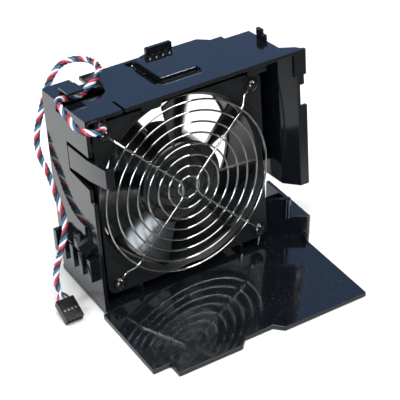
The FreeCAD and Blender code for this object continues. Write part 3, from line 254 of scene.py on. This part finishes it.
# %% Metal grain: streaks drawn out along one axis
STREAK_SCALE = (1, 0.12, 1)
grain_group, entry, leave = start_group(
    "metal_grain", [("Grain Scale", 400), ("Polished", 0.12), ("Dull", 0.3)],
    ["Mask", "Roughness"])
place = grain_group.nodes.new("ShaderNodeTexCoord").outputs["Object"]
drawn = grain_group.nodes.new("ShaderNodeMapping")
drawn.inputs["Scale"].default_value = STREAK_SCALE
grain_group.links.new(place, drawn.inputs["Vector"])
streaks = add_noise(
    grain_group, drawn.outputs["Vector"], entry.outputs["Grain Scale"], detail=4, roughness=0.6)
tone = add_range(grain_group, streaks, NOISE_SPAN, (0, 1))
polish = add_range(
    grain_group, streaks, NOISE_SPAN, (entry.outputs["Polished"], entry.outputs["Dull"]))
grain_group.links.new(tone, leave.inputs["Mask"])
grain_group.links.new(polish, leave.inputs["Roughness"])
print("group:", grain_group.name)

# %% [markdown]
# ## Finishes
#
# A finish is a Principled shader with a few of those groups in front of it. Plastic mixes its
# colour with dust and takes its gloss from the smudges. Metal mixes two tones along its grain.
# What is the same all over, such as how metallic it is, is set on the shader itself.

# %% Helpers for plastic and metal
BUMP_DISTANCE = 0.001


def start_finish(name):
    """Make a material, and hand back its shader with it."""
    material = bpy.data.materials.new(name)
    material.use_nodes = True
    return material, material.node_tree.nodes["Principled BSDF"]


def mix_colour(material, mask, first, second):
    """Mix two colours by a mask."""
    mix = material.node_tree.nodes.new("ShaderNodeMix")
    mix.data_type = "RGBA"
    mix.inputs["A"].default_value = (*first, 1)
    mix.inputs["B"].default_value = (*second, 1)
    material.node_tree.links.new(mask, mix.inputs["Factor"])
    return mix.outputs["Result"]


def use_group(material, group, **values):
    """Place a node group in a material with values of its own."""
    node = material.node_tree.nodes.new("ShaderNodeGroup")
    node.node_tree = group
    for name, value in values.items():
        node.inputs[name.replace("_", " ")].default_value = value
    return node


def plastic(name, colour, dusty, gloss, smudge, ripple, depth, dust, ior=1.5, speck=1400):
    """Colour with dust on it, smudged gloss, and a rippled skin."""
    material, shader = start_finish(name)
    shader.inputs["IOR"].default_value = ior
    specks = use_group(material, dust_group, Speck_Scale=speck, Amount=dust)
    skin = use_group(material, skin_group, Smudge_Scale=smudge, Clean=gloss[0], Smudged=gloss[1],
                     Ripple_Scale=ripple)
    bump = material.node_tree.nodes.new("ShaderNodeBump")
    bump.inputs["Strength"].default_value = depth
    bump.inputs["Distance"].default_value = BUMP_DISTANCE
    link = material.node_tree.links.new
    link(mix_colour(material, specks.outputs["Mask"], colour, dusty), shader.inputs["Base Color"])
    link(skin.outputs["Roughness"], shader.inputs["Roughness"])
    link(skin.outputs["Height"], bump.inputs["Height"])
    link(bump.outputs["Normal"], shader.inputs["Normal"])
    return material


def metal(name, bright, dull, gloss, grain):
    """Two tones of metal along its grain."""
    material, shader = start_finish(name)
    shader.inputs["Metallic"].default_value = 1.0
    streaks = use_group(material, grain_group, Grain_Scale=grain, Polished=gloss[0], Dull=gloss[1])
    link = material.node_tree.links.new
    link(mix_colour(material, streaks.outputs["Mask"], bright, dull), shader.inputs["Base Color"])
    link(streaks.outputs["Roughness"], shader.inputs["Roughness"])
    return material


# %% Mix the plastics
DUST = (0.12, 0.13, 0.15)
finishes = {
    "shroud": plastic(
        "gloss_black_moulding", (0.0038, 0.0048, 0.0068), DUST, gloss=(0.05, 0.13), smudge=38,
        ripple=70, depth=0.035, dust=0.28, ior=1.58, speck=620),
    "fan": plastic(
        "satin_black_frame", (0.0055, 0.0062, 0.007), DUST, gloss=(0.36, 0.48), smudge=70,
        ripple=160, depth=0.03, dust=0.3, ior=1.38),
    "impeller": plastic(
        "gloss_black_blades", (0.005, 0.0055, 0.006), DUST, gloss=(0.16, 0.22), smudge=50,
        ripple=80, depth=0.008, dust=0.15, ior=1.55),
    "rivet": plastic(
        "black_nylon", (0.007, 0.007, 0.008), DUST, gloss=(0.06, 0.13), smudge=120,
        ripple=500, depth=0.03, dust=0.2),
    "plug": plastic(
        "plug_nylon", (0.003, 0.003, 0.004), DUST, gloss=(0.16, 0.28), smudge=150,
        ripple=600, depth=0.05, dust=0.04, ior=1.27),
    "grommet": plastic(
        "black_rubber", (0.014, 0.014, 0.015), DUST, gloss=(0.5, 0.7), smudge=150,
        ripple=700, depth=0.2, dust=0.4),
    "bobbin": plastic(
        "ivory_nylon", (0.62, 0.59, 0.5), (0.35, 0.33, 0.28), gloss=(0.35, 0.5), smudge=150,
        ripple=600, depth=0.05, dust=0.5),
    "board": plastic(
        "green_laminate", (0.012, 0.085, 0.03), (0.03, 0.14, 0.05), gloss=(0.25, 0.4), smudge=200,
        ripple=900, depth=0.1, dust=0.9),
    "ferrite": plastic(
        "ferrite", (0.03, 0.03, 0.033), (0.07, 0.07, 0.075), gloss=(0.45, 0.6), smudge=300,
        ripple=1500, depth=0.15, dust=0.8),
}
print("plastics:", len(finishes))

# %% Mix the metals
METALS = {
    "wire": ("chromed_wire", (0.58, 0.585, 0.58), (0.38, 0.39, 0.39), (0.04, 0.1), 350),
    "yoke": ("zinc_cup", (0.56, 0.57, 0.6), (0.38, 0.39, 0.42), (0.25, 0.4), 300),
    "shaft": ("ground_steel", (0.66, 0.67, 0.69), (0.5, 0.51, 0.53), (0.15, 0.28), 900),
    "bearing": ("bearing_steel", (0.7, 0.71, 0.73), (0.55, 0.56, 0.58), (0.12, 0.22), 900),
    "core": ("core_laminations", (0.4, 0.41, 0.43), (0.2, 0.21, 0.23), (0.35, 0.5), 2400),
    "brass": ("turned_brass", (0.7, 0.5, 0.2), (0.5, 0.34, 0.12), (0.2, 0.34), 900),
    "copper": ("enamelled_copper", (0.62, 0.26, 0.1), (0.4, 0.15, 0.05), (0.22, 0.36), 2000),
    "tin": ("tinned_contact", (0.16, 0.157, 0.152), (0.1, 0.098, 0.094), (0.2, 0.34), 1200),
}
for finish, (name, bright, dull, gloss, grain) in METALS.items():
    finishes[finish] = metal(name, bright, dull, gloss, grain)
print("metals:", len(METALS))

# %% Mix the colours of the leads
LEADS = (
    ("red_lead", (0.42, 0.022, 0.06), (0.55, 0.1, 0.13), 0.4),
    ("white_lead", (0.74, 0.75, 0.78), (0.5, 0.5, 0.5), 0.3),
    ("blue_lead", (0.025, 0.095, 0.2), (0.07, 0.16, 0.26), 0.4),
    ("black_lead", (0.012, 0.012, 0.016), (0.06, 0.06, 0.065), 0.4),
)
lead_finishes = [
    plastic(name, colour, dusty, gloss=(0.25, 0.4), smudge=200, ripple=900, depth=0.05, dust=dust)
    for name, colour, dusty, dust in LEADS]
print("leads:", len(lead_finishes))

# %% [markdown]
# ## Softened edges
#
# A moulding has no knife edges: each outer edge is rounded by a few tenths of a millimetre, and
# that rounding draws the bright lines along it. The inner corners are cut sharp in the mould and
# stay dark. The solid's mesh is loose triangles, so a copy is merged first and its flat faces are
# dissolved into single ones. A few corners are rounder than the rest: the shroud's upright one at
# the rear left and the two at the top of the thumb grip. They are found by the line they lie on
# and bevelled first. Then the edges that stand out are selected and bevelled. A Weighted Normal
# modifier keeps the wide faces flat, so that they mirror straight lines. The copy stands for the
# solid. The thumb latch keeps its lower edges sharp, because their rounding would mirror the
# white table inside a dark slot.

# %% Helpers that select and round edges
SHARP = math.radians(40)
FACES_DOWN = -0.5
NEAR_LINE = 0.3
CORNER_SEGMENTS = 5


def select_edges(piece, wanted):
    """Select the edges of a mesh in edit mode that a test wants, and count them."""
    bpy.ops.mesh.select_mode(type="EDGE")
    bpy.ops.mesh.select_all(action="DESELECT")
    net = bmesh.from_edit_mesh(piece.data)
    for edge in net.edges:
        edge.select = wanted(edge)
    bmesh.update_edit_mesh(piece.data)
    return sum(edge.select for edge in net.edges)


def round_edges(piece, width, segments, undersides=True):
    """Bevel the edges that stand out; those of the underside may be left sharp."""
    def stands_out(edge):
        if not undersides and any(face.normal.z < FACES_DOWN for face in edge.link_faces):
            return False
        return edge.is_convex and edge.calc_face_angle(0) > SHARP

    select_edges(piece, stands_out)
    bpy.ops.mesh.bevel(offset=width, segments=segments, affect="EDGES", clamp_overlap=False)


def round_corners(piece, radius, lines):
    """Bevel the edges on lines of the fan's frame, in millimetres; None is the way a line runs."""
    def on_line(edge):
        ends = [in_fan(end.co) for end in edge.verts]
        return any(
            all(at is None or abs(end[axis] - at) < NEAR_LINE
                for end in ends for axis, at in enumerate(line))
            for line in lines)

    print(piece.name, "corners rounded:", select_edges(piece, on_line))
    bpy.ops.mesh.bevel(
        offset=radius, segments=CORNER_SEGMENTS, affect="EDGES", clamp_overlap=False)


# %% Helpers that make a moulding out of a solid
SMOOTH_LIMIT = math.radians(32)
FULL_WEIGHT = 100
MERGE_DISTANCE = 0.000002
FLAT_LIMIT = math.radians(0.6)
EDGE_SEGMENTS = 2


def flatten_faces(piece):
    """Smooth the rounded edges and keep the wide faces flat."""
    bpy.ops.object.shade_smooth_by_angle(angle=SMOOTH_LIMIT)
    flat = piece.modifiers.new("flat_faces", "WEIGHTED_NORMAL")
    flat.weight = FULL_WEIGHT
    flat.keep_sharp = True
    bpy.ops.object.modifier_apply(modifier=flat.name)


def copy_solid(node):
    """Copy a solid's mesh and merge its loose triangles into whole faces, left in edit mode."""
    bpy.ops.object.select_all(action="DESELECT")
    source = nodes[node]
    source.select_set(True)
    bpy.context.view_layer.objects.active = source
    bpy.ops.object.duplicate()
    piece = bpy.context.object
    piece.name = node + "_moulding"
    piece.parent = None
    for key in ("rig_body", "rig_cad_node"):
        del piece[key]
    bpy.ops.mesh.customdata_custom_splitnormals_clear()
    bpy.ops.object.mode_set(mode="EDIT")
    bpy.ops.mesh.select_all(action="SELECT")
    bpy.ops.mesh.remove_doubles(threshold=MERGE_DISTANCE)
    bpy.ops.mesh.dissolve_limited(angle_limit=FLAT_LIMIT)
    return piece


def softened(node, width, finish, body, undersides=True, radius=0, lines=()):
    """Stand a copy with rounded edges in for a solid."""
    piece = copy_solid(node)
    if lines:
        round_corners(piece, radius, lines)
    round_edges(piece, width, EDGE_SEGMENTS, undersides)
    bpy.ops.object.mode_set(mode="OBJECT")
    flatten_faces(piece)
    piece.data.materials.clear()
    piece.data.materials.append(finishes[finish])
    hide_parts(node)
    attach(piece, body)
    print(piece.name, "faces", len(piece.data.polygons))
    return piece


# %% Round the mouldings of the shroud
SHROUD_EDGE = 0.00035
APRON_EDGE = 0.0004
LATCH_EDGE = 0.00025
REAR_CORNER_RADIUS = 0.002
REAR_LEFT_CORNER = [(-66.3, 51.5, None)]
GRIP_CORNER_RADIUS = 0.0013
GRIP_TOP_CORNERS = [(5, None, 74.8), (24, None, 74.8)]
shroud = softened(
    "shroud", SHROUD_EDGE, "shroud", "housing",
    radius=REAR_CORNER_RADIUS, lines=REAR_LEFT_CORNER)
apron = softened("apron", APRON_EDGE, "shroud", "housing")
thumb_latch = softened(
    "top_latch", LATCH_EDGE, "shroud", "thumb_latch", undersides=False,
    radius=GRIP_CORNER_RADIUS, lines=GRIP_TOP_CORNERS)
finger_latch = softened("side_latch", LATCH_EDGE, "shroud", "finger_latch")

# %% Round the plug and the fan's frame
PLUG_EDGE = 0.00015
FRAME_EDGE = 0.00024
plug = softened("plug_housing", PLUG_EDGE, "plug", "housing")
softened("fan_frame", FRAME_EDGE, "fan", "housing")

# %% [markdown]
# ## The raised plate of the thumb latch
#
# On the real latch the tongue stands two to three millimetres proud of the top plate and ends in
# front in a steep step, whose upper edge draws a bright line. A cube is added at that size, and
# it leans back with the fan. Its two upright front corners are rounded first and widely, then
# every other edge that stands out.

# %% Raised plate
PLATE_START = Vector((-3.9, 12.6, 66.2))
PLATE_END = Vector((23.6, 45, 69.6))
PLATE_LEFT_RADIUS = 0.0012
PLATE_RIGHT_RADIUS = 0.0024
PLATE_EDGE = 0.0006
PLATE_SEGMENTS = 3
bpy.ops.object.select_all(action="DESELECT")
bpy.ops.mesh.primitive_cube_add(size=1 / PER_METRE)
raised_plate = bpy.context.object
raised_plate.name = "thumb_latch_plate"
raised_plate.matrix_world = Matrix.LocRotScale(
    on_fan(*(PLATE_START + PLATE_END) / 2),
    Matrix((FAN_RIGHT, FAN_BACK, FAN_UP)).transposed().to_quaternion(),
    PLATE_END - PLATE_START)
bpy.ops.object.transform_apply(location=True, rotation=True, scale=True)
bpy.ops.object.mode_set(mode="EDIT")
round_corners(raised_plate, PLATE_LEFT_RADIUS, [(PLATE_START.x, PLATE_START.y, None)])
round_corners(raised_plate, PLATE_RIGHT_RADIUS, [(PLATE_END.x, PLATE_START.y, None)])
round_edges(raised_plate, PLATE_EDGE, PLATE_SEGMENTS)
bpy.ops.object.mode_set(mode="OBJECT")
flatten_faces(raised_plate)
raised_plate.data.materials.append(finishes["shroud"])
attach(raised_plate, "thumb_latch")
print(raised_plate.name, "faces", len(raised_plate.data.polygons))

# %% [markdown]
# ## Twisted leads
#
# The cable is four insulated leads twisted together by hand. Each lead winds round the smooth
# line, a quarter turn apart. To keep the winding even round every bend, a pair of side directions
# is carried along the line without twisting, and the winding is measured against it. Over the
# last millimetres the leads leave the twist and fan out into the plug's cavities.

# %% Carry two side directions along the line
forward = [(after - before).normalized() for before, after in zip(path, path[1:])]
forward.append(forward[-1])
side = Vector((1, 0, 0))
sides = []
for direction in forward:
    side = (side - direction * side.dot(direction)).normalized()
    sides.append(side.copy())
print("side directions:", len(sides))

# %% Wind each lead
BUNDLE_RADIUS = 0.00124
TWIST_PITCH = 0.0125
FAN_OUT = 0.009
PIN_PITCH = 0.00254
UNEVEN_TURN = 0.5
UNEVEN_RATE = 95


def wind(index):
    """Points of one lead along the line; a hand's twist is a little uneven."""
    places = []
    for point, direction, side, distance in zip(path, forward, sides, distances):
        up = direction.cross(side)
        turn = 2 * math.pi * (distance / TWIST_PITCH + index / len(LEADS))
        turn += UNEVEN_TURN * math.sin(distance * UNEVEN_RATE)
        twisted = (side * math.cos(turn) + up * math.sin(turn)) * BUNDLE_RADIUS
        share = min(max((distance - LEAD_LENGTH + FAN_OUT) / FAN_OUT, 0), 1)
        share = share * share * (3 - 2 * share)  # eases out of the twist and into the row
        row = Vector((PIN_PITCH * (index - (len(LEADS) - 1) / 2), 0, 0))
        places.append(point + twisted.lerp(row, share))
    return places


windings = [wind(index) for index in range(len(LEADS))]
print("windings:", len(windings), "points each:", len(windings[0]))


# %% Draw each lead round its points and join the four
LEAD_RADIUS = 0.00086
LEAD_FACETS = 3


def tube(name, places, radius, finish):
    """Round lead along the points, as a mesh."""
    curve = bpy.data.curves.new(name, "CURVE")
    curve.dimensions = "3D"
    curve.bevel_depth = radius
    curve.bevel_resolution = LEAD_FACETS
    curve.use_fill_caps = True
    strand = curve.splines.new("POLY")
    strand.points.add(len(places) - 1)
    for point, place in zip(strand.points, places):
        point.co = (*place, 1)
    strand.use_smooth = True
    lead = bpy.data.objects.new(name, curve)
    bpy.context.scene.collection.objects.link(lead)
    bpy.ops.object.select_all(action="DESELECT")
    lead.select_set(True)
    bpy.context.view_layer.objects.active = lead
    bpy.ops.object.convert(target="MESH")
    lead = bpy.context.object
    lead.data.materials.clear()
    lead.data.materials.append(finish)
    return lead


strands = [tube(f"lead_{index}", windings[index], LEAD_RADIUS, finish)
           for index, finish in enumerate(lead_finishes)]
bpy.ops.object.select_all(action="DESELECT")
for strand in strands:
    strand.select_set(True)
bpy.context.view_layer.objects.active = strands[0]
bpy.ops.object.join()
leads = bpy.context.object
leads.name = "twisted_leads"
bpy.ops.object.shade_smooth()
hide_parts("cable")
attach(leads, "housing")
print(leads.name, "faces", len(leads.data.polygons))

# %% [markdown]
# ## Finishes for the solids that stay as they are
#
# The impeller, the guard and the pieces inside the motor already have the right shape. Each only
# needs its finish in place of the plain one it came with.

# %% Give each remaining solid its finish
solid_finishes = {
    "impeller": "impeller", "guard_rings": "wire", "guard_spoke_left": "wire",
    "guard_spoke_right": "wire", "guard_rivets": "rivet", "lead_grommet": "grommet",
    "rotor_yoke": "yoke", "ring_magnet": "ferrite", "rotor_shaft": "shaft", "shaft_clip": "shaft",
    "preload_spring": "shaft", "bearing_tube": "brass", "front_bearing": "bearing",
    "rear_bearing": "bearing", "stator_core": "core", "front_bobbin": "bobbin",
    "rear_bobbin": "bobbin", "coil_windings": "copper", "circuit_board": "board",
    "plug_terminals": "tin",
}
for node, finish in solid_finishes.items():
    nodes[node].data.materials.clear()
    nodes[node].data.materials.append(finishes[finish])
print("solids with a finish:", len(solid_finishes))

# %% [markdown]
# ## Floor
#
# The fan stands on a white table. Its black walls mirror the table, which is what makes them look
# grey from the side. The table lies a hair below the fan, so that the two don't share a plane.

# %% Floor
FLOOR_SIZE = 8
FLOOR_LEVEL = -0.0002
bpy.ops.object.select_all(action="DESELECT")
bpy.ops.mesh.primitive_plane_add(size=FLOOR_SIZE, location=(0, 0, FLOOR_LEVEL))
floor = bpy.context.object
floor.name = "studio_floor"
floor.data.materials.append(plastic(
    "white_table", (0.9, 0.9, 0.9), (0.86, 0.86, 0.86), gloss=(0.6, 0.7), smudge=4,
    ripple=20, depth=0.0, dust=0.2))
print("floor:", floor.name)

# %% [markdown]
# ## A dark card in front: painted shade in the mirror images
#
# Gloss black and chrome show whatever lies in front of them. White table all round would turn
# them grey, so a black card lies in front, outside the picture, as painted shade: it stands in for
# the unlit room, and the pieces that face the viewer mirror it. Here the card fades in towards the
# viewer, a painted fall-off of light across the table. It shows in mirror images alone: the camera
# and the soft light of the table pass it by.

# %% Dark card: painted shade seen in mirror images alone
CARD_SIZE = 3
CARD_PLACE = (0, -1.49, -0.0001)
PAINTED_SHADE_COLOUR = (0.02, 0.022, 0.024, 1)
CARD_ROUGHNESS = 0.9
SHADE_FADE_SPAN = (0.01, -0.15)
CARD_COVER = 0.92
bpy.ops.object.select_all(action="DESELECT")
bpy.ops.mesh.primitive_plane_add(size=CARD_SIZE, location=CARD_PLACE)
bpy.ops.object.transform_apply(location=True, rotation=False, scale=False)
card = bpy.context.object
card.name = "painted_shade_card"
shade_card_paper, paper = start_finish("painted_shade_paper")
# The card's dark colour is painted shade, seen in mirror images alone.
paper.inputs["Base Color"].default_value = PAINTED_SHADE_COLOUR
paper.inputs["Roughness"].default_value = CARD_ROUGHNESS
where = shade_card_paper.node_tree.nodes.new("ShaderNodeTexCoord")
parts = shade_card_paper.node_tree.nodes.new("ShaderNodeSeparateXYZ")
shade_card_paper.node_tree.links.new(where.outputs["Object"], parts.inputs["Vector"])
# The fade is a painted fall-off of light: the mirrored table grows darker towards the viewer.
fade = add_range(shade_card_paper.node_tree, parts.outputs["Y"], SHADE_FADE_SPAN, (0, CARD_COVER))
shade_card_paper.node_tree.links.new(fade, paper.inputs["Alpha"])
card.data.materials.append(shade_card_paper)
card.visible_camera = card.visible_diffuse = card.visible_shadow = False
print("card:", card.name)

# %% [markdown]
# ## Lamps
#
# A wide softbox hangs overhead. Gloss shows lamps as shapes, so the other lamps are placed by
# what mirrors them: a blue panel behind for the sheen of the top, a low softbox for the glint on
# a blade, and small ones for the lines along the edges, the spokes and the rivets. The blue
# panel, the edge lamp and the spoke lamp show in gloss alone and don't light the table. The blue
# panel is linked to the shroud's mouldings, so the fan inside stays black.

# %% Soft lights
FAN_MIDDLE = Vector((0, 0, 0.06))
LAMPS = {
    "overhead_softbox": ((0.1, -0.3, 2.0), (2.0, 1.6), 64, (1, 1, 0.98)),
    "sky_panel": ((1.1, 1.75, 1.55), (2.4, 2.4), 11.8, (0.3, 0.52, 1)),
    "low_softbox": ((-1.3, -1.5, 0.4), (0.9, 0.5), 27, (0.86, 0.94, 1)),
    "edge_lamp": ((0.95, -1.3, 1.56), (0.5, 0.35), 30, (1, 1, 0.98)),
    "spoke_lamp": ((-1.2, -1.33, 1.34), (0.25, 0.25), 8, (1, 1, 1)),
    "rivet_lamp": ((-1.27, 0.58, 1.49), (0.5, 0.5), 18, (0.97, 0.99, 1)),
}


def softbox(name, place, size, power, colour):
    """Add a rectangular lamp that faces the fan."""
    data = bpy.data.lights.new(name, "AREA")
    data.shape = "RECTANGLE"
    data.size, data.size_y = size
    data.energy = power
    data.color = colour
    light = bpy.data.objects.new(name, data)
    light.location = place
    light.rotation_euler = (FAN_MIDDLE - Vector(place)).to_track_quat("-Z", "Y").to_euler()
    bpy.context.scene.collection.objects.link(light)
    return light


lamps = {name: softbox(name, *values) for name, values in LAMPS.items()}
for name in ("sky_panel", "edge_lamp", "spoke_lamp"):
    lamps[name].visible_diffuse = False
sheen = bpy.data.collections.new("blue_sheen")
for piece in (shroud, apron, thumb_latch, finger_latch, raised_plate):
    sheen.objects.link(piece)
lamps["sky_panel"].light_linking.receiver_collection = sheen
print("lamps:", len(lamps))

# %% Air of the room
AIR_COLOUR = (0.8, 0.9, 1, 1)
AIR_STRENGTH = 0.06
world = bpy.data.worlds.new("studio_air")
bpy.context.scene.world = world
world.use_nodes = True
air = world.node_tree.nodes["Background"]
air.inputs["Color"].default_value = AIR_COLOUR
air.inputs["Strength"].default_value = AIR_STRENGTH
bpy.context.scene.view_settings.view_transform = "Standard"
print("world:", world.name)
